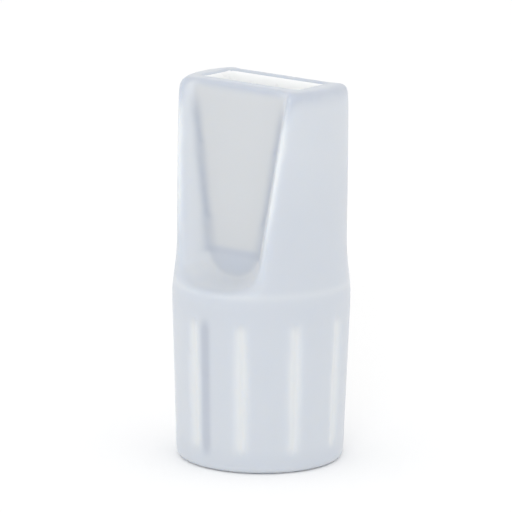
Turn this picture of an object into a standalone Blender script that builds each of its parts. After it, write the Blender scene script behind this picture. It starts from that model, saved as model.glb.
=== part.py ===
"""Saliva ejector tip: a push-on suction mouthpiece with its strainer, seal ring and tube bush.

The tip stands on its open base, with its axis along +Z, its oblong mouth on top and the mouth's long side along X.
"""

import math

import bmesh
import bpy
from mathutils import Matrix, Vector

MM = 0.001

# Driving dimensions, in millimetres
HEIGHT = 27.3
COLLAR_RADIUS = 6.35
UPPER_RADIUS = 6.04
FLARE_RADIUS = 6.22
BASE_RADIUS = 5.99
MOUTH_LENGTH = 8.55
MOUTH_WIDTH = 3.16
TUBE_DIAMETER = 6.5
FLUTE_COUNT = 10
PIECE_GAP = 0.3

# Heights up the axis
COLLAR_TOP = 12.9
COLLAR_BOTTOM = 11.2
FLARE_TOP = 15.5
FLARE_FOOT = 13.2
FLUTE_BOTTOM = 1.1
SHOULDER_Z = 9.1

# Edge radii
RIM_ROUND = 0.5
BASE_ROUND = 0.4

# Sunk panels: a nearly upright floor, sides that flare out to the round body, and a foot on the collar's top
PANEL_TOP_DISTANCE = 2.65
PANEL_SLOPE = 0.03
PANEL_TOP_HALF = 4.25
PANEL_FOOT_RADIUS = 2.25
PANEL_FOOT_Z = 13.25
PANEL_REACH = 6.9
WALL_FLARE = 0.83
SHELF_Z = 12.95

# Passage: a flat pocket that narrows downwards to a half-round foot, a throat, and a plenum above the strainer
PASSAGE_LOW_HALF_LENGTH = 2.7
PASSAGE_ARC_Z = 15.9
THROAT_RADIUS = 1.5
THROAT_TOP = 14.6
THROAT_FOOT = 12.4
PLENUM_TOP = 11.6
PLENUM_BEVEL = 0.5

# Flutes around the grip
FLUTE_WIDTH = 0.95
FLUTE_DEPTH = 0.2
FLUTE_PHASE = math.radians(7.7)

# Pieces held in the base
TUBE_CLEARANCE = 0.05
CHAMBER_RADIUS = 4.7
STRAINER_THICKNESS = 0.7
STRAINER_HOLE_RADIUS = 0.5
STRAINER_RING_RADIUS = 1.9
STRAINER_RING_HOLES = 6
SEAL_SECTION = 0.55
BUSH_FOOT = 0.5
LEAD_IN = 0.4

TURN_STEPS = 96
CUTTER_STEPS = 64
ARC_POINTS = 18
SMOOTH_ANGLE = math.radians(28.0)

# Worked out from the dimensions above
TUBE_BORE = TUBE_DIAMETER / 2.0 + TUBE_CLEARANCE
INSERT_RADIUS = CHAMBER_RADIUS - PIECE_GAP
STRAINER_TOP = SHOULDER_Z - PIECE_GAP
STRAINER_FOOT = STRAINER_TOP - STRAINER_THICKNESS
SEAL_CENTRE_Z = STRAINER_FOOT - PIECE_GAP - SEAL_SECTION
SEAL_CENTRE_RADIUS = INSERT_RADIUS - SEAL_SECTION
BUSH_TOP = SEAL_CENTRE_Z - SEAL_SECTION - PIECE_GAP


def clear_scene():
    """Remove every object that the scene starts with."""
    for item in list(bpy.data.objects):
        bpy.data.objects.remove(item, do_unlink=True)


def new_collection(name):
    """Return a new collection under the scene's own."""
    collection = bpy.data.collections.new(name)
    bpy.context.scene.collection.children.link(collection)
    return collection


def plastic(name, colour, roughness):
    """Return a plain non-metal material."""
    material = bpy.data.materials.new(name)
    material.use_nodes = True
    shader = material.node_tree.nodes["Principled BSDF"]
    shader.inputs["Base Color"].default_value = (*colour, 1.0)
    shader.inputs["Roughness"].default_value = roughness
    shader.inputs["Metallic"].default_value = 0.0
    return material


def add_object(name, mesh, collection):
    """Link a new object that shows the mesh."""
    item = bpy.data.objects.new(name, mesh)
    collection.objects.link(item)
    return item


def mark_cutter(item):
    """Show a cutter as wires only, and keep it out of renders."""
    item.hide_render = True
    item.display_type = "WIRE"
    return item


def arc(centre_x, centre_z, radius, start, end, count):
    """Points on an arc in the XZ plane, angles in degrees from +X towards +Z."""
    points = []
    for step in range(count + 1):
        angle = math.radians(start + (end - start) * step / count)
        points.append((centre_x + radius * math.cos(angle), centre_z + radius * math.sin(angle)))
    return points


def smooth_step(start, end, count):
    """Points of an S-curve between two (radius, height) points, ends left out."""
    points = []
    for step in range(1, count):
        share = step / count
        ease = share * share * (3.0 - 2.0 * share)
        points.append((start[0] + (end[0] - start[0]) * ease, start[1] + (end[1] - start[1]) * share))
    return points


def turned(name, profile, collection, steps, closed=False):
    """A solid of revolution about Z from (radius, height) points in mm that run down the outer side."""
    mesh = bpy.data.meshes.new(name)
    points = [(radius * MM, 0.0, height * MM) for radius, height in profile]
    edges = [(index, index + 1) for index in range(len(points) - 1)]
    if closed:
        edges.append((len(points) - 1, 0))
    mesh.from_pydata(points, edges, [])
    item = add_object(name, mesh, collection)
    screw = item.modifiers.new("turn", "SCREW")
    screw.axis = "Z"
    screw.angle = math.tau
    screw.steps = steps
    screw.render_steps = steps
    screw.use_merge_vertices = True
    screw.merge_threshold = 0.00001
    return item


def settle(item):
    """Replace an object's mesh by its modified one, shaded smooth across shallow edges."""
    graph = bpy.context.evaluated_depsgraph_get()
    graph.update()
    mesh = bpy.data.meshes.new_from_object(item.evaluated_get(graph))
    item.modifiers.clear()
    item.data = mesh
    mesh.name = item.name
    mesh.shade_smooth()
    mesh.set_sharp_from_angle(angle=SMOOTH_ANGLE)


def cut(item, cutter):
    """Take the cutter's solid away from the object."""
    boolean = item.modifiers.new("cut_" + cutter.name, "BOOLEAN")
    boolean.operation = "DIFFERENCE"
    boolean.solver = "EXACT"
    boolean.object = cutter


def loft(name, rings, collection):
    """A closed solid through two rings of equal length."""
    shape = bmesh.new()
    loops = [[shape.verts.new(Vector(point) * MM) for point in ring] for ring in rings]
    count = len(rings[0])
    for index in range(count):
        after = (index + 1) % count
        shape.faces.new((loops[0][index], loops[0][after], loops[1][after], loops[1][index]))
    for loop in loops:
        shape.faces.new(loop)
    bmesh.ops.recalc_face_normals(shape, faces=shape.faces)
    mesh = bpy.data.meshes.new(name)
    shape.to_mesh(mesh)
    shape.free()
    return mark_cutter(add_object(name, mesh, collection))


def panel_distance(height):
    """Distance from the axis to a panel's floor."""
    return PANEL_TOP_DISTANCE + PANEL_SLOPE * (HEIGHT - height)


def panel_cutter(side, collection):
    """What is cut away to sink one panel (side is -1 or +1 along Y)."""
    over = 1.0
    foot_z = PANEL_FOOT_Z + PANEL_FOOT_RADIUS
    widen = (PANEL_TOP_HALF - PANEL_FOOT_RADIUS) / (HEIGHT - foot_z)
    lean = math.degrees(math.atan(widen))
    headings = [-lean - (180.0 - 2.0 * lean) * step / ARC_POINTS for step in range(ARC_POINTS + 1)]
    foot = arc(0.0, foot_z, PANEL_FOOT_RADIUS, headings[0], headings[-1], ARC_POINTS)
    top = (PANEL_TOP_HALF + widen * over, HEIGHT + over)
    inner = []
    outer = []
    for (x, z), heading in zip([top, *foot, (-top[0], top[1])], [headings[0], *headings, headings[-1]]):
        distance = panel_distance(z)
        spread = WALL_FLARE * (PANEL_REACH - distance)
        angle = math.radians(heading)
        inner.append((x, side * distance, z))
        outer_z = max(z + spread * math.sin(angle), SHELF_Z)
        outer.append((x + spread * math.cos(angle), side * PANEL_REACH, outer_z))
    name = "panel_cutter_front" if side < 0 else "panel_cutter_back"
    return loft(name, [inner, outer], collection)


def passage_cutter(collection):
    """The oblong way in from the mouth, with its half-round foot."""
    over = 0.5
    widen = (MOUTH_LENGTH / 2.0 - PASSAGE_LOW_HALF_LENGTH) / (HEIGHT - PASSAGE_ARC_Z)
    top_half = MOUTH_LENGTH / 2.0 + widen * over
    outline = [(top_half, HEIGHT + over)]
    outline += arc(0.0, PASSAGE_ARC_Z, PASSAGE_LOW_HALF_LENGTH, 0, -180, ARC_POINTS)
    outline += [(-top_half, HEIGHT + over)]
    half_width = MOUTH_WIDTH / 2.0
    rings = [[(x, y, z) for x, z in outline] for y in (-half_width, half_width)]
    return loft("passage_cutter", rings, collection)


def socket_cutter(collection):
    """The round chamber for the inserts, its shoulder, the plenum above it and the throat up to the passage."""
    over = 1.0
    profile = [
        (0.0, THROAT_TOP),
        (THROAT_RADIUS, THROAT_TOP),
        (THROAT_RADIUS, THROAT_FOOT),
        (TUBE_BORE - PLENUM_BEVEL, PLENUM_TOP),
        (TUBE_BORE, PLENUM_TOP - PLENUM_BEVEL),
        (TUBE_BORE, SHOULDER_Z),
        (CHAMBER_RADIUS, SHOULDER_Z),
        (CHAMBER_RADIUS, -over),
        (0.0, -over),
    ]
    return mark_cutter(turned("socket_cutter", profile, collection, CUTTER_STEPS))


def flute_cutter(collection):
    """All the flutes: round-ended rods laid along the tapered grip."""
    taper = math.atan2(COLLAR_RADIUS - BASE_RADIUS, COLLAR_BOTTOM)
    rod_radius = ((FLUTE_WIDTH / 2.0) ** 2 + FLUTE_DEPTH**2) / (2.0 * FLUTE_DEPTH)
    length = COLLAR_BOTTOM - FLUTE_BOTTOM
    middle = (COLLAR_BOTTOM + FLUTE_BOTTOM) / 2.0
    wall_radius = BASE_RADIUS + (COLLAR_RADIUS - BASE_RADIUS) * middle / COLLAR_BOTTOM
    shape = bmesh.new()
    for number in range(FLUTE_COUNT):
        made = bmesh.ops.create_uvsphere(shape, u_segments=20, v_segments=10, radius=rod_radius * MM)
        for vert in made["verts"]:
            if vert.co.z > 0.00001 * rod_radius:
                vert.co.z += (length / 2.0 - rod_radius) * MM
            elif vert.co.z < -0.00001 * rod_radius:
                vert.co.z -= (length / 2.0 - rod_radius) * MM
        place = Matrix.Rotation(FLUTE_PHASE + math.tau * number / FLUTE_COUNT, 4, "Z")
        place @= Matrix.Translation(Vector((wall_radius + rod_radius - FLUTE_DEPTH, 0.0, middle)) * MM)
        place @= Matrix.Rotation(taper, 4, "Y")
        bmesh.ops.transform(shape, matrix=place, verts=made["verts"])
    mesh = bpy.data.meshes.new("flute_cutter")
    shape.to_mesh(mesh)
    shape.free()
    return mark_cutter(add_object("flute_cutter", mesh, collection))


def body_profile():
    """The body's outer outline, from the top of the axis down to the base."""
    profile = [(0.0, HEIGHT)]
    profile += arc(UPPER_RADIUS - RIM_ROUND, HEIGHT - RIM_ROUND, RIM_ROUND, 90, 0, 4)
    flare_start = (UPPER_RADIUS, FLARE_TOP)
    flare_end = (FLARE_RADIUS, FLARE_FOOT)
    profile += [flare_start]
    profile += smooth_step(flare_start, flare_end, 6)
    profile += [flare_end, (COLLAR_RADIUS, COLLAR_TOP), (COLLAR_RADIUS, COLLAR_BOTTOM)]
    profile += arc(BASE_RADIUS - BASE_ROUND, BASE_ROUND, BASE_ROUND, 0, -90, 5)
    profile += [(0.0, 0.0)]
    return profile


def build_body(parts, cutters):
    """The moulded shell: mouth, sunk panels, collar, grip and socket in one moulding."""
    body = turned("tip_body", body_profile(), parts, TURN_STEPS)
    for side in (-1, 1):
        cut(body, panel_cutter(side, cutters))
    cut(body, passage_cutter(cutters))
    cut(body, socket_cutter(cutters))
    cut(body, flute_cutter(cutters))
    settle(body)
    return body


def build_strainer(parts, cutters):
    """A thin disc with one hole in the middle and a ring of holes around it."""
    edge = 0.12
    profile = [(0.0, STRAINER_TOP)]
    profile += arc(INSERT_RADIUS - edge, STRAINER_TOP - edge, edge, 90, 0, 2)
    profile += arc(INSERT_RADIUS - edge, STRAINER_FOOT + edge, edge, 0, -90, 2)
    profile += [(0.0, STRAINER_FOOT)]
    strainer = turned("strainer", profile, parts, CUTTER_STEPS)
    shape = bmesh.new()
    places = [(0.0, 0.0)]
    for number in range(STRAINER_RING_HOLES):
        angle = math.tau * number / STRAINER_RING_HOLES
        places.append((STRAINER_RING_RADIUS * math.cos(angle), STRAINER_RING_RADIUS * math.sin(angle)))
    for x, y in places:
        bmesh.ops.create_cone(
            shape,
            cap_ends=True,
            segments=20,
            radius1=STRAINER_HOLE_RADIUS * MM,
            radius2=STRAINER_HOLE_RADIUS * MM,
            depth=3.0 * STRAINER_THICKNESS * MM,
            matrix=Matrix.Translation(Vector((x, y, (STRAINER_TOP + STRAINER_FOOT) / 2.0)) * MM),
        )
    mesh = bpy.data.meshes.new("strainer_holes")
    shape.to_mesh(mesh)
    shape.free()
    cut(strainer, mark_cutter(add_object("strainer_holes", mesh, cutters)))
    settle(strainer)
    return strainer


def build_seal(parts):
    """A soft round-section ring that grips the tube."""
    section = arc(SEAL_CENTRE_RADIUS, SEAL_CENTRE_Z, SEAL_SECTION, 90, -270, 16)[:-1]
    seal = turned("seal_ring", section, parts, CUTTER_STEPS, closed=True)
    settle(seal)
    return seal


def build_bush(parts):
    """The ring that guides the tube and holds the seal in place, with a tapered lead-in at its foot."""
    edge = 0.15
    profile = arc(INSERT_RADIUS - edge, BUSH_TOP - edge, edge, 90, 0, 2)
    profile += arc(INSERT_RADIUS - edge, BUSH_FOOT + edge, edge, 0, -90, 2)
    profile += [
        (TUBE_BORE + LEAD_IN, BUSH_FOOT),
        (TUBE_BORE, BUSH_FOOT + LEAD_IN),
        (TUBE_BORE, BUSH_TOP),
    ]
    bush = turned("tube_bush", profile, parts, CUTTER_STEPS, closed=True)
    settle(bush)
    return bush


def main():
    clear_scene()
    parts = new_collection("saliva_ejector_tip")
    cutters = new_collection("cutters")
    milky = plastic("milky_plastic", (0.72, 0.76, 0.80), 0.38)
    white = plastic("white_plastic", (0.82, 0.84, 0.85), 0.42)
    silicone = plastic("clear_silicone", (0.80, 0.83, 0.85), 0.50)
    finishes = (
        (build_body(parts, cutters), milky),
        (build_strainer(parts, cutters), white),
        (build_seal(parts), silicone),
        (build_bush(parts), white),
    )
    for item, material in finishes:
        item.data.materials.clear()
        item.data.materials.append(material)


main()
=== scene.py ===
"""Saliva ejector tip: the moulded shell and the pieces in its base, dressed for a studio view.

Laid out as an add-on: each piece or group of like pieces has an operator, and main() runs them in order.
"""

import math

import bmesh
import bpy
import numpy as np
from mathutils import Matrix, Vector


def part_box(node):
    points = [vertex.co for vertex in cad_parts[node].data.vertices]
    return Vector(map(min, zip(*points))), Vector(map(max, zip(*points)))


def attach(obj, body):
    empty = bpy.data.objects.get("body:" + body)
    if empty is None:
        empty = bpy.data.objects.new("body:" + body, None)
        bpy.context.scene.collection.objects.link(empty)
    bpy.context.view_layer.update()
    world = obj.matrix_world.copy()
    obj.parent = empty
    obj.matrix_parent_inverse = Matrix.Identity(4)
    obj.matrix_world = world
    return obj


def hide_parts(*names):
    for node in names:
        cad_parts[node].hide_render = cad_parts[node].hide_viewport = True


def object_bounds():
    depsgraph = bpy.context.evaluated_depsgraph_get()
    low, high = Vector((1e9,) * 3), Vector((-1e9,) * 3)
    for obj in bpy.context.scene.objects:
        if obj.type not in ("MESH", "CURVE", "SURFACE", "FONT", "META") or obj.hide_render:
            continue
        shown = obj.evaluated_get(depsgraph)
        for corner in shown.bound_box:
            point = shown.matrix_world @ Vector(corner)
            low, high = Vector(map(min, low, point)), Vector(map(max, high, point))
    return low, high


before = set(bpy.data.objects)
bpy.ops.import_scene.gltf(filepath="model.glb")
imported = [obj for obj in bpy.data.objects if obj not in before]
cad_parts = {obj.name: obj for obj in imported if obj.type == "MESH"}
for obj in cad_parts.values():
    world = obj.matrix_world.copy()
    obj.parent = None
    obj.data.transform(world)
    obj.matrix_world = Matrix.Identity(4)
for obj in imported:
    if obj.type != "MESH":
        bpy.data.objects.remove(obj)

bl_info = {
    "name": "Saliva Ejector Tip",
    "version": (1, 0, 0),
    "blender": (4, 5, 0),
    "location": "View3D > Sidebar > Ejector Tip",
    "description": "Dresses a push-on suction mouthpiece as soft-edged translucent mouldings",
    "category": "Add Mesh",
}

MM = 0.001
CAD_BOX = [list(corner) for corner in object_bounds()]
SHELL_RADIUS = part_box("tip_body")[1][0]
SHELL_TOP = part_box("tip_body")[1][2]
MIDDLE = Vector((0.0, 0.0, (CAD_BOX[0][2] + CAD_BOX[1][2]) / 2.0))
BUSH_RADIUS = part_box("tube_bush")[1][0]

# Heights on the shell
POCKET_FOOT = 12.2 * MM
COLLAR_TOP = 12.9 * MM
PANEL_FOOT_TOP = 15.0 * MM

# Where the extra softening is full, and where it has faded out
FOOT_FADE = (14.0 * MM, 18.0 * MM)
RIM_FADE = (SHELL_TOP, 24.5 * MM)
RIDGE_FADE = (14.5 * MM, COLLAR_TOP)

# Heights between which a painted light or shade tone comes in or goes out
GRIP_FOOT_RISE = (0.9 * MM, 1.8 * MM)
RIDGE_LIGHT_RISE = (16.0 * MM, 19.0 * MM)
RIDGE_LIGHT_FALL = (23.5 * MM, 25.5 * MM)
THIN_WALL_LIGHT_RISE = (18.0 * MM, 23.0 * MM)
CREASE_FALL = (25.0 * MM, 26.3 * MM)
RIM_SHADE_RISE = (25.0 * MM, 26.2 * MM)


class MouldingSettings(bpy.types.PropertyGroup):
    """Sizes and colours of the moulded pieces."""

    voxel: bpy.props.FloatProperty(
        name="Voxel", description="Grid on which the shell's surface is rebuilt", default=0.155 * MM,
        unit="LENGTH",
    )
    soften_passes: bpy.props.IntProperty(
        name="Softening", description="Smoothing passes that round every edge of the shell", default=6,
        min=0,
    )
    foot_passes: bpy.props.IntProperty(
        name="Foot softening", description="Extra passes that blend the panels' feet into the collar",
        default=37, min=0,
    )
    rim_passes: bpy.props.IntProperty(
        name="Rim softening", description="Extra passes that round the rim of the mouth", default=20,
        min=0,
    )
    ridge_passes: bpy.props.IntProperty(
        name="Ridge softening", description="Extra passes that round the ridges beside the panels",
        default=11, min=0,
    )
    tone_passes: bpy.props.IntProperty(
        name="Tone blending", description="Times that each tone is blended with its surroundings",
        default=3, min=0,
    )
    mouth_length: bpy.props.FloatProperty(
        name="Mouth length", description="Long side of the mouth", default=8.55 * MM, unit="LENGTH"
    )
    mouth_width: bpy.props.FloatProperty(
        name="Mouth width", description="Short side of the mouth", default=3.16 * MM, unit="LENGTH"
    )
    panel_distance: bpy.props.FloatProperty(
        name="Panel distance", description="From the axis to a panel's floor at the mouth",
        default=2.65 * MM, unit="LENGTH",
    )
    panel_slope: bpy.props.FloatProperty(
        name="Panel slope", description="How fast a panel's floor moves outwards on its way down",
        default=0.03,
    )
    # Painted shade: below this height a panel's floor is painted darker, with a darker band just below it
    shade_line: bpy.props.FloatProperty(
        name="Tint line", description="Height below which a panel's floor backs on solid plastic",
        default=15.45 * MM, unit="LENGTH",
    )
    flute_depth: bpy.props.FloatProperty(
        name="Flute depth", description="Depth at which a flute counts as full", default=0.12 * MM,
        unit="LENGTH",
    )
    rib_width: bpy.props.FloatProperty(
        name="Rib width",
        description="Width of the inner rib that shows through the grip below each panel",
        default=0.64 * MM, unit="LENGTH",
    )
    grip_draft: bpy.props.FloatProperty(
        name="Grip draft", description="How much narrower the grip's foot is than its top, on the radius",
        default=0.36 * MM, unit="LENGTH",
    )
    grip_height: bpy.props.FloatProperty(
        name="Grip height", description="Where the fluted, tapered grip ends", default=11.2 * MM,
        unit="LENGTH",
    )
    grain: bpy.props.FloatProperty(
        name="Mould grain", description="Width of one grain of the satin mould texture",
        default=0.16 * MM, unit="LENGTH",
    )
    shell_colour: bpy.props.StringProperty(
        name="Shell colour", description="Milky elastomer, as sRGB hex", default="CBD0D7"
    )
    # Painted light: a panel's floor is painted greyer and less blue, for light passing through its thin
    # wall
    panel_light_colour: bpy.props.StringProperty(
        name="Panel colour", description="Thin wall of a panel, less blue than the thick plastic",
        default="CED1D4",
    )
    # Painted shade: the darker colour of a panel's floor below the shade line
    backed_shade_colour: bpy.props.StringProperty(
        name="Backed colour", description="Where the wall has solid plastic behind it", default="C4CAD3"
    )
    # Painted light: the side walls of the sunk panels are painted lighter
    wall_light_colour: bpy.props.StringProperty(
        name="Wall colour", description="Side walls of a sunk panel, lit from both of their faces",
        default="D5D9DE",
    )
    # Painted light and highlight: flutes, the upper shell, the ridges beside the panels and the collar's
    # top edge are painted lighter
    painted_light_colour: bpy.props.StringProperty(
        name="Bright colour", description="Flutes and ridges, which pass more light", default="DEE1E3"
    )
    crease_colour: bpy.props.StringProperty(
        name="Crease colour", description="Inner corners, which gather shade", default="B6BDC8"
    )
    shade_colour: bpy.props.StringProperty(
        name="Shade colour", description="Rounded rim, and inner ribs that show through the wall",
        default="B7BDC8",
    )
    glow: bpy.props.FloatProperty(
        name="Glow", description="Light that the thin walls let through to the inside of the mouth",
        default=0.06,
    )
    glow_foot: bpy.props.FloatProperty(
        name="Glow foot", description="Height at which no light comes through any more",
        default=14.0 * MM, unit="LENGTH",
    )
    core_colour: bpy.props.StringProperty(
        name="Inner skin colour", description="Inside walls, lit through the plastic", default="F0F1F1"
    )
    insert_colour: bpy.props.StringProperty(
        name="Insert colour", description="White polypropylene of the pieces in the base",
        default="EEF1F2",
    )
    seal_colour: bpy.props.StringProperty(
        name="Seal colour", description="Clear silicone with a faint blue cast", default="D9E2E8"
    )


class StageSettings(bpy.types.PropertyGroup):
    """Camera and light."""

    azimuth: bpy.props.FloatProperty(
        name="Azimuth", description="Camera's turn round the tip from the -Y side",
        default=math.radians(38.8), subtype="ANGLE",
    )
    elevation: bpy.props.FloatProperty(
        name="Elevation", description="Camera's height above the horizon", default=math.radians(12.7),
        subtype="ANGLE",
    )
    lean: bpy.props.FloatProperty(
        name="Lean", description="Camera's roll", default=math.radians(0.58), subtype="ANGLE"
    )
    view_width: bpy.props.FloatProperty(
        name="View width", description="Width that the picture covers at the tip", default=36.43 * MM,
        unit="LENGTH",
    )
    lens: bpy.props.FloatProperty(name="Lens", description="Focal length in mm", default=300.0)
    shift_right: bpy.props.FloatProperty(
        name="Shift right", description="How far right of the tip's middle the camera aims",
        default=-0.40 * MM, unit="LENGTH",
    )
    shift_up: bpy.props.FloatProperty(
        name="Shift up", description="How far above the tip's middle the camera aims", default=0.83 * MM,
        unit="LENGTH",
    )
    box_turn: bpy.props.FloatProperty(
        name="Soft box turn", description="From the camera's side, to the right",
        default=math.radians(-8.0), subtype="ANGLE",
    )
    box_rise: bpy.props.FloatProperty(
        name="Soft box rise", description="Above the horizon", default=math.radians(22.0), subtype="ANGLE"
    )
    box_reach: bpy.props.FloatProperty(
        name="Soft box reach", description="Distance from the tip", default=0.30, unit="LENGTH"
    )
    box_size: bpy.props.FloatProperty(
        name="Soft box size", description="Diameter of the lit disc", default=0.10, unit="LENGTH"
    )
    box_power: bpy.props.FloatProperty(name="Soft box power", description="In watts", default=0.12)
    floor_radius: bpy.props.FloatProperty(
        name="Floor radius", description="Radius of the sheet of paper", default=0.6, unit="LENGTH"
    )
    floor_colour: bpy.props.StringProperty(
        name="Floor colour", description="Matt white paper, as sRGB hex", default="FFFFFF"
    )


def linear(code):
    """An sRGB hex code as a linear colour with alpha."""
    channels = []
    for start in (0, 2, 4):
        value = int(code[start:start + 2], 16) / 255.0
        channels.append(value / 12.92 if value <= 0.04045 else ((value + 0.055) / 1.055) ** 2.4)
    return (*channels, 1.0)


def add_node(tree, kind, settings=None, links=None):
    """Add a node; settings go to its fields or sockets, and links join its inputs to other sockets."""
    made = tree.nodes.new(kind)
    for key, value in (settings or {}).items():
        if isinstance(key, int) or key in made.inputs:
            made.inputs[key].default_value = value
        else:
            setattr(made, key, value)
    for key, socket in (links or {}).items():
        tree.links.new(socket, made.inputs[key])
    return made


def new_material(name):
    """A node material with an empty tree, and its output."""
    material = bpy.data.materials.new(name)
    material.use_nodes = True
    material.node_tree.nodes.clear()
    output = add_node(material.node_tree, "ShaderNodeOutputMaterial")
    return material, material.node_tree, output


def satin_bump(tree, place, grain, height):
    """The fine satin of an eroded steel mould, as a normal; its grain is drawn coarse enough to show."""
    speck = add_node(
        tree, "ShaderNodeTexNoise",
        {"Scale": 1.0 / grain, "Detail": 2.0, "Roughness": 0.6},
        {"Vector": place},
    )
    return add_node(
        tree, "ShaderNodeBump", {"Strength": 1.0, "Distance": height}, {"Height": speck.outputs["Fac"]}
    ).outputs["Normal"]


def moulded_elastomer(settings):
    """Thermoplastic elastomer, injection moulded in a satin mould: milky, and light spreads inside it."""
    material, tree, output = new_material("moulded_thermoplastic_elastomer")
    place = add_node(tree, "ShaderNodeTexCoord").outputs["Object"]
    cloud = add_node(
        tree, "ShaderNodeTexNoise", {"Scale": 1.0 / (3.0 * MM), "Detail": 3.0}, {"Vector": place}
    ).outputs["Fac"]
    # Painted light and shade: each tone attribute blends the shell colour towards its own lighter or darker
    # colour
    tone = None
    for name, code in (
        ("panel", settings.panel_light_colour),
        ("wall", settings.wall_light_colour),
        ("backed_shade", settings.backed_shade_colour),
        ("crease", settings.crease_colour),
        ("shade", settings.shade_colour),
        ("painted_light", settings.painted_light_colour),
    ):
        amount = add_node(tree, "ShaderNodeAttribute", {"attribute_name": name}).outputs["Fac"]
        blend = add_node(
            tree, "ShaderNodeMix",
            {"data_type": "RGBA", 6: linear(settings.shell_colour), 7: linear(code)},
            {0: amount},
        )
        if tone:
            tree.links.new(tone, blend.inputs[6])
        tone = blend.outputs[2]
    satin = add_node(
        tree, "ShaderNodeMapRange", {"To Min": 0.36, "To Max": 0.46}, {"Value": cloud}
    ).outputs["Result"]
    normal = satin_bump(tree, place, settings.grain, 0.004 * MM)
    shader = add_node(
        tree, "ShaderNodeBsdfPrincipled",
        {"IOR": 1.48, "Subsurface Weight": 1.0, "Subsurface Radius": (0.9, 1.0, 1.15),
         "Subsurface Scale": 0.7 * MM},
        {"Base Color": tone, "Roughness": satin, "Normal": normal},
    )
    tree.links.new(shader.outputs[0], output.inputs["Surface"])
    return material


def polished_elastomer(settings):
    """The same elastomer against polished core pins: smoother, and lit faintly through the thin walls."""
    material, tree, output = new_material("core_polished_elastomer")
    place = add_node(tree, "ShaderNodeTexCoord").outputs["Object"]
    cloud = add_node(
        tree, "ShaderNodeTexNoise", {"Scale": 1.0 / (2.5 * MM), "Detail": 3.0}, {"Vector": place}
    ).outputs["Fac"]
    gloss = add_node(
        tree, "ShaderNodeMapRange", {"To Min": 0.24, "To Max": 0.32}, {"Value": cloud}
    ).outputs["Result"]
    height = add_node(tree, "ShaderNodeSeparateXYZ", links={0: place}).outputs["Z"]
    glow = add_node(
        tree, "ShaderNodeMapRange",
        {"From Min": settings.glow_foot, "From Max": SHELL_TOP, "To Max": settings.glow},
        {"Value": height},
    ).outputs["Result"]
    shader = add_node(
        tree, "ShaderNodeBsdfPrincipled",
        {"Base Color": linear(settings.core_colour), "Emission Color": linear(settings.core_colour),
         "IOR": 1.48, "Subsurface Weight": 1.0, "Subsurface Radius": (1.0, 1.0, 1.0),
         "Subsurface Scale": 1.0 * MM},
        {"Roughness": gloss, "Emission Strength": glow},
    )
    tree.links.new(shader.outputs[0], output.inputs["Surface"])
    return material


def moulded_polypropylene(settings):
    """White polypropylene, injection moulded: opaque, waxy, with a fine satin."""
    material, tree, output = new_material("moulded_white_polypropylene")
    place = add_node(tree, "ShaderNodeTexCoord").outputs["Object"]
    cloud = add_node(
        tree, "ShaderNodeTexNoise", {"Scale": 1.0 / (2.0 * MM), "Detail": 3.0}, {"Vector": place}
    ).outputs["Fac"]
    satin = add_node(
        tree, "ShaderNodeMapRange", {"To Min": 0.36, "To Max": 0.46}, {"Value": cloud}
    ).outputs["Result"]
    shader = add_node(
        tree, "ShaderNodeBsdfPrincipled",
        {"Base Color": linear(settings.insert_colour), "IOR": 1.49, "Subsurface Weight": 0.3,
         "Subsurface Radius": (0.8, 0.9, 1.0), "Subsurface Scale": 0.5 * MM},
        {"Roughness": satin, "Normal": satin_bump(tree, place, settings.grain, 0.003 * MM)},
    )
    tree.links.new(shader.outputs[0], output.inputs["Surface"])
    return material


def cured_silicone(settings):
    """Clear silicone rubber, compression moulded: slightly hazy, smooth and a little tacky in its sheen."""
    material, tree, output = new_material("cured_clear_silicone")
    place = add_node(tree, "ShaderNodeTexCoord").outputs["Object"]
    cloud = add_node(
        tree, "ShaderNodeTexNoise", {"Scale": 1.0 / (1.2 * MM), "Detail": 2.0}, {"Vector": place}
    ).outputs["Fac"]
    haze = add_node(
        tree, "ShaderNodeMapRange", {"To Min": 0.22, "To Max": 0.34}, {"Value": cloud}
    ).outputs["Result"]
    shader = add_node(
        tree, "ShaderNodeBsdfPrincipled",
        {"Base Color": linear(settings.seal_colour), "IOR": 1.41, "Transmission Weight": 0.4},
        {"Roughness": haze, "Normal": satin_bump(tree, place, settings.grain, 0.002 * MM)},
    )
    tree.links.new(shader.outputs[0], output.inputs["Surface"])
    return material


def link_piece(name, mesh, materials, slot, *nodes):
    """Show a finished mesh as a piece that rides on the part and replaces its CAD nodes."""
    for material in materials:
        mesh.materials.append(material)
    piece = bpy.data.objects.new(name, mesh)
    bpy.context.scene.collection.objects.link(piece)
    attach(piece, "root")
    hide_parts(*nodes)


def rebuilt_copy(node_name, voxel):
    """A merged copy of a CAD solid, rebuilt on an even grid so that its edges can be softened."""
    shape = bmesh.new()
    shape.from_mesh(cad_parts[node_name].data)
    bmesh.ops.remove_doubles(shape, verts=shape.verts, dist=0.001 * MM)
    mesh = bpy.data.meshes.new(node_name + "_copy")
    shape.to_mesh(mesh)
    shape.free()
    holder = bpy.data.objects.new(node_name + "_copy", mesh)
    bpy.context.scene.collection.objects.link(holder)
    remesh = holder.modifiers.new("grid", "REMESH")
    remesh.mode = "VOXEL"
    remesh.voxel_size = voxel
    graph = bpy.context.evaluated_depsgraph_get()
    rebuilt = bmesh.new()
    rebuilt.from_object(holder, graph)
    bpy.data.objects.remove(holder, do_unlink=True)
    return rebuilt


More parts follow.
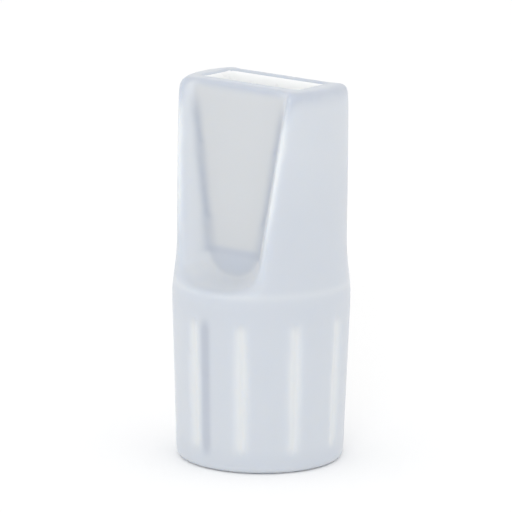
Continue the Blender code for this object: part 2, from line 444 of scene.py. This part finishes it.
class EJECTOR_OT_shell(bpy.types.Operator):
    """Build the soft-edged moulded shell."""

    bl_idname = "ejector.shell"
    bl_label = "Moulded shell"

    def execute(self, context):
        settings = context.scene.ejector_moulding
        shape = rebuilt_copy("tip_body", settings.voxel)
        soften(shape, shape.verts, settings.soften_passes)
        outside = [vert for vert in shape.verts if is_outside(vert.co, settings)]
        upper = [vert for vert in outside if vert.co.z > POCKET_FOOT]
        soften_fading(shape, upper, FOOT_FADE, settings.foot_passes)
        soften_fading(shape, upper, RIM_FADE, settings.rim_passes)
        soften_fading(shape, upper, RIDGE_FADE, settings.ridge_passes)
        for face in shape.faces:
            face.smooth = True
            face.material_index = 1 if is_inside(face.calc_center_median(), settings) else 0
        mesh = bpy.data.meshes.new("tip_shell")
        shape.to_mesh(mesh)
        shape.free()
        mark_tones(mesh, settings)
        skins = (moulded_elastomer(settings), polished_elastomer(settings))
        link_piece("tip_shell", mesh, skins, "milky_plastic", "tip_body")
        return {"FINISHED"}


def soften(shape, verts, passes):
    """Draw the points towards their neighbours, once for each pass."""
    for _ in range(passes):
        bmesh.ops.smooth_vert(
            shape, verts=verts, factor=0.5, use_axis_x=True, use_axis_y=True, use_axis_z=True
        )


def soften_fading(shape, verts, fade, passes):
    """Soften the points: fewer and fewer passes act from the first height of the fade to the second."""
    near, far = fade
    for step in range(passes):
        limit = near + (far - near) * (step + 0.5) / passes
        if far > near:
            within = [vert for vert in verts if vert.co.z < limit]
        else:
            within = [vert for vert in verts if vert.co.z > limit]
        soften(shape, within, 1)


def ramp(value, start, end):
    """0 up to start, 1 from end on, and a straight rise between them."""
    return np.clip((value - start) / (end - start), 0.0, 1.0)


def is_inside(point, settings):
    """True on the walls that a core pin forms: the pocket under the mouth and the socket in the base."""
    slack = 0.35 * MM  # tolerance, because softening moves the walls a little
    if point.z > POCKET_FOOT:
        in_length = abs(point.x) < settings.mouth_length / 2.0 + slack
        in_width = abs(point.y) < settings.mouth_width / 2.0 + slack
        return in_length and in_width and point.z < SHELL_TOP - slack / 2.0
    return math.hypot(point.x, point.y) < BUSH_RADIUS + 2.0 * slack and point.z > slack


def is_outside(point, settings):
    """True clear of the mouth and of the passage below it."""
    clear = 0.5 * MM
    beyond_length = abs(point.x) > settings.mouth_length / 2.0 + clear
    beyond_width = abs(point.y) > settings.mouth_width / 2.0 + clear
    return beyond_length or beyond_width


def mark_tones(mesh, settings):
    """Store where light and shade are painted into the plastic's colour, as one attribute for each tone."""
    place, normal, ends = read_surface(mesh)
    x, y, z = place.T
    radius = np.hypot(x, y)
    bend = spread_out(bending(place, normal, ends), ends, settings.tone_passes)
    ridge = ramp(-bend, 0.2, 1.4)

    upper = (z > COLLAR_TOP) & (abs(y) > settings.mouth_width / 2.0 + 0.4 * MM)
    off_floor = abs(abs(y) - settings.panel_distance - settings.panel_slope * (SHELL_TOP - z))
    on_floor = upper * (1.0 - ramp(off_floor, 0.1 * MM, 0.3 * MM)) * ramp(abs(normal[:, 1]), 0.85, 0.95)
    # Painted shade: darker below the shade line, with a darker band just below the line
    below_shade_line = 1.0 - ramp(z, settings.shade_line, settings.shade_line + 0.05 * MM)
    shade_line_band = 1.0 - ramp(abs(z - settings.shade_line + 0.2 * MM), 0.1 * MM, 0.3 * MM)
    sunk = ramp(0.95 * SHELL_RADIUS - radius, 0.2 * MM, 0.8 * MM)

    grip_wall = SHELL_RADIUS - settings.grip_draft * (1.0 - z / settings.grip_height)
    grip_head_fall = ramp(z, settings.grip_height - 0.9 * MM, settings.grip_height)
    on_grip = ramp(z, *GRIP_FOOT_RISE) * (1.0 - grip_head_fall) * (radius > 0.9 * SHELL_RADIUS)
    # Painted light: lighter in the flutes, for the light their thinner wall lets through
    flute_light = on_grip * ramp(grip_wall - radius, 0.0, settings.flute_depth)
    # Painted shade: a dark stripe down the grip below each panel
    rib_shade = on_grip * (1.0 - ramp(abs(x), settings.rib_width / 4.0, settings.rib_width * 0.75))

    # Painted highlight along the ridges beside the panels
    ridge_span = ramp(z, *RIDGE_LIGHT_RISE) * (1.0 - ramp(z, *RIDGE_LIGHT_FALL))
    lit_ridge = ridge * ridge_span * (abs(y) > settings.panel_distance)
    # Painted highlight: a faint light line round the collar's top edge
    collar_highlight = (1.0 - ramp(abs(z - COLLAR_TOP), 0.0, 0.35 * MM)) * (radius > 0.97 * SHELL_RADIUS)
    # Painted light: lighter towards the mouth, off the panel floors
    thin_wall_light = (1.0 - on_floor) * ramp(z, *THIN_WALL_LIGHT_RISE)
    hollow = ramp(bend, 0.15, 1.1) * (z > PANEL_FOOT_TOP)

    # Each tone paints light or shade into the colour. A weight before a name is how strongly that feature
    # takes its tone
    tones = {
        # Painted light: the panel floor, greyer and less blue
        "panel": on_floor,
        # Painted light: the sunk panels' side walls, lighter the deeper they sink
        "wall": upper * sunk * (1.0 - on_floor),
        # Painted shade: the panel floor below the shade line
        "backed_shade": on_floor * below_shade_line,
        "crease": hollow * (1.0 - ramp(z, *CREASE_FALL)),
        "shade": ridge * ramp(z, *RIM_SHADE_RISE) + 0.5 * on_floor * shade_line_band + 1.3 * rib_shade,
        "painted_light": flute_light + 0.6 * lit_ridge + 0.4 * collar_highlight + 0.2 * thin_wall_light,
    }
    for name, values in tones.items():
        values = np.clip(spread_out(values, ends, settings.tone_passes), 0.0, 1.0)
        mesh.attributes.new(name, "FLOAT", "POINT").data.foreach_set("value", values)


def read_surface(mesh):
    """Each point's place and normal, and the points at both ends of each edge."""
    count = len(mesh.vertices)
    place = np.empty(count * 3)
    mesh.vertices.foreach_get("co", place)
    normal = np.empty(count * 3)
    mesh.vertices.foreach_get("normal", normal)
    ends = np.empty(len(mesh.edges) * 2, dtype=np.int64)
    mesh.edges.foreach_get("vertices", ends)
    return place.reshape(count, 3), normal.reshape(count, 3), ends.reshape(-1, 2).T


def neighbour_mean(values, ends):
    """The mean of the values at the points that share an edge with each point."""
    total = np.zeros(values.shape)
    np.add.at(total, ends[0], values[ends[1]])
    np.add.at(total, ends[1], values[ends[0]])
    return (total.T / np.bincount(ends.ravel(), minlength=len(values))).T


def spread_out(values, ends, passes):
    """Blend the values with their neighbours', once for each pass."""
    for _ in range(passes):
        values = 0.5 * (values + neighbour_mean(values, ends))
    return values


def bending(place, normal, ends):
    """How sharply the surface bends at each point, in 1/mm: above 0 in a hollow, below 0 on an edge.

    Lift is how far the neighbours' middle stands above the point, along its normal, and spread is
    the mean square of the neighbours' distances from it.
    """
    middle = neighbour_mean(place, ends)
    squares = (place * place).sum(axis=1)
    lift = ((middle - place) * normal).sum(axis=1)
    spread = neighbour_mean(squares, ends) - 2.0 * (middle * place).sum(axis=1) + squares
    return 4.0 * lift / spread * MM


class EJECTOR_OT_inserts(bpy.types.Operator):
    """Finish the strainer, seal ring and tube bush."""

    bl_idname = "ejector.inserts"
    bl_label = "Pieces in the base"

    def execute(self, context):
        settings = context.scene.ejector_moulding
        white = moulded_polypropylene(settings)
        clear = cured_silicone(settings)
        for node_name, material in (("strainer", white), ("seal_ring", clear), ("tube_bush", white)):
            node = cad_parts[node_name]
            node.data.materials.clear()
            node.data.materials.append(material)
        return {"FINISHED"}


class EJECTOR_OT_stage(bpy.types.Operator):
    """Set out the paper floor, the light and the camera."""

    bl_idname = "ejector.stage"
    bl_label = "Stage"

    def execute(self, context):
        settings = context.scene.ejector_stage
        add_floor(settings)
        add_lights(settings)
        add_camera(context.scene, settings)
        context.scene.view_settings.view_transform = "Standard"
        return {"FINISHED"}


def add_floor(settings):
    """A round sheet of matt white paper, far larger than the tip."""
    shape = bmesh.new()
    bmesh.ops.create_circle(shape, cap_ends=True, segments=64, radius=settings.floor_radius)
    mesh = bpy.data.meshes.new("paper_floor")
    shape.to_mesh(mesh)
    shape.free()
    floor = bpy.data.objects.new("paper_floor", mesh)
    floor.location.z = CAD_BOX[0][2]
    bpy.context.scene.collection.objects.link(floor)
    material, tree, output = new_material("matt_white_paper")
    shader = add_node(
        tree, "ShaderNodeBsdfPrincipled",
        {"Base Color": linear(settings.floor_colour), "Roughness": 0.9, "Specular IOR Level": 0.1},
    )
    tree.links.new(shader.outputs[0], output.inputs["Surface"])
    mesh.materials.append(material)


def add_lights(settings):
    """An even white surround, and a soft box that models the edges from the camera's upper left."""
    world = bpy.data.worlds.new("white_surround")
    world.use_nodes = True
    world.node_tree.nodes["Background"].inputs["Color"].default_value = linear("FFFFFF")
    world.node_tree.nodes["Background"].inputs["Strength"].default_value = 1.0
    bpy.context.scene.world = world
    light = bpy.data.lights.new("soft_box", "AREA")
    light.shape = "DISK"
    light.size = settings.box_size
    light.energy = settings.box_power
    lamp = bpy.data.objects.new("soft_box", light)
    toward = heading(settings.azimuth + settings.box_turn, settings.box_rise)
    lamp.location = MIDDLE + toward * settings.box_reach
    lamp.rotation_euler = toward.to_track_quat("Z", "Y").to_euler()
    bpy.context.scene.collection.objects.link(lamp)


def heading(turn, rise):
    """The direction that is turned from the -Y side towards +X, and raised above the horizon."""
    return Vector((math.sin(turn) * math.cos(rise), -math.cos(turn) * math.cos(rise), math.sin(rise)))


def add_camera(scene, settings):
    """A long lens that looks slightly down on the tip."""
    toward = heading(settings.azimuth, settings.elevation)
    camera = bpy.data.cameras.new("camera")
    camera.lens = settings.lens
    camera.sensor_width = 36.0
    distance = settings.view_width * settings.lens / camera.sensor_width
    turn = toward.to_track_quat("Z", "Y") @ Matrix.Rotation(settings.lean, 3, "Z").to_quaternion()
    aim = MIDDLE + turn @ Vector((settings.shift_right, settings.shift_up, 0.0))
    view = bpy.data.objects.new("camera", camera)
    view.location = aim + toward * distance
    view.rotation_euler = turn.to_euler()
    camera.clip_end = 5.0
    scene.collection.objects.link(view)
    scene.camera = view


class EJECTOR_PT_panel(bpy.types.Panel):
    """Lists the pieces and their settings."""

    bl_idname = "EJECTOR_PT_panel"
    bl_label = "Ejector Tip"
    bl_space_type = "VIEW_3D"
    bl_region_type = "UI"
    bl_category = "Ejector Tip"

    def draw(self, context):
        for settings in (context.scene.ejector_moulding, context.scene.ejector_stage):
            for name in settings.bl_rna.properties.keys():
                if name not in {"rna_type", "name"}:
                    self.layout.prop(settings, name)
        for operator in OPERATORS:
            self.layout.operator(operator.bl_idname)


OPERATORS = (EJECTOR_OT_shell, EJECTOR_OT_inserts, EJECTOR_OT_stage)
CLASSES = (MouldingSettings, StageSettings, *OPERATORS, EJECTOR_PT_panel)


def register():
    for item in CLASSES:
        bpy.utils.register_class(item)
    bpy.types.Scene.ejector_moulding = bpy.props.PointerProperty(type=MouldingSettings)
    bpy.types.Scene.ejector_stage = bpy.props.PointerProperty(type=StageSettings)


def unregister():
    del bpy.types.Scene.ejector_stage
    del bpy.types.Scene.ejector_moulding
    for item in reversed(CLASSES):
        bpy.utils.unregister_class(item)


def main():
    """Build every piece and the stage."""
    register()
    bpy.ops.ejector.shell()
    bpy.ops.ejector.inserts()
    bpy.ops.ejector.stage()


if __name__ == "__main__":
    main()
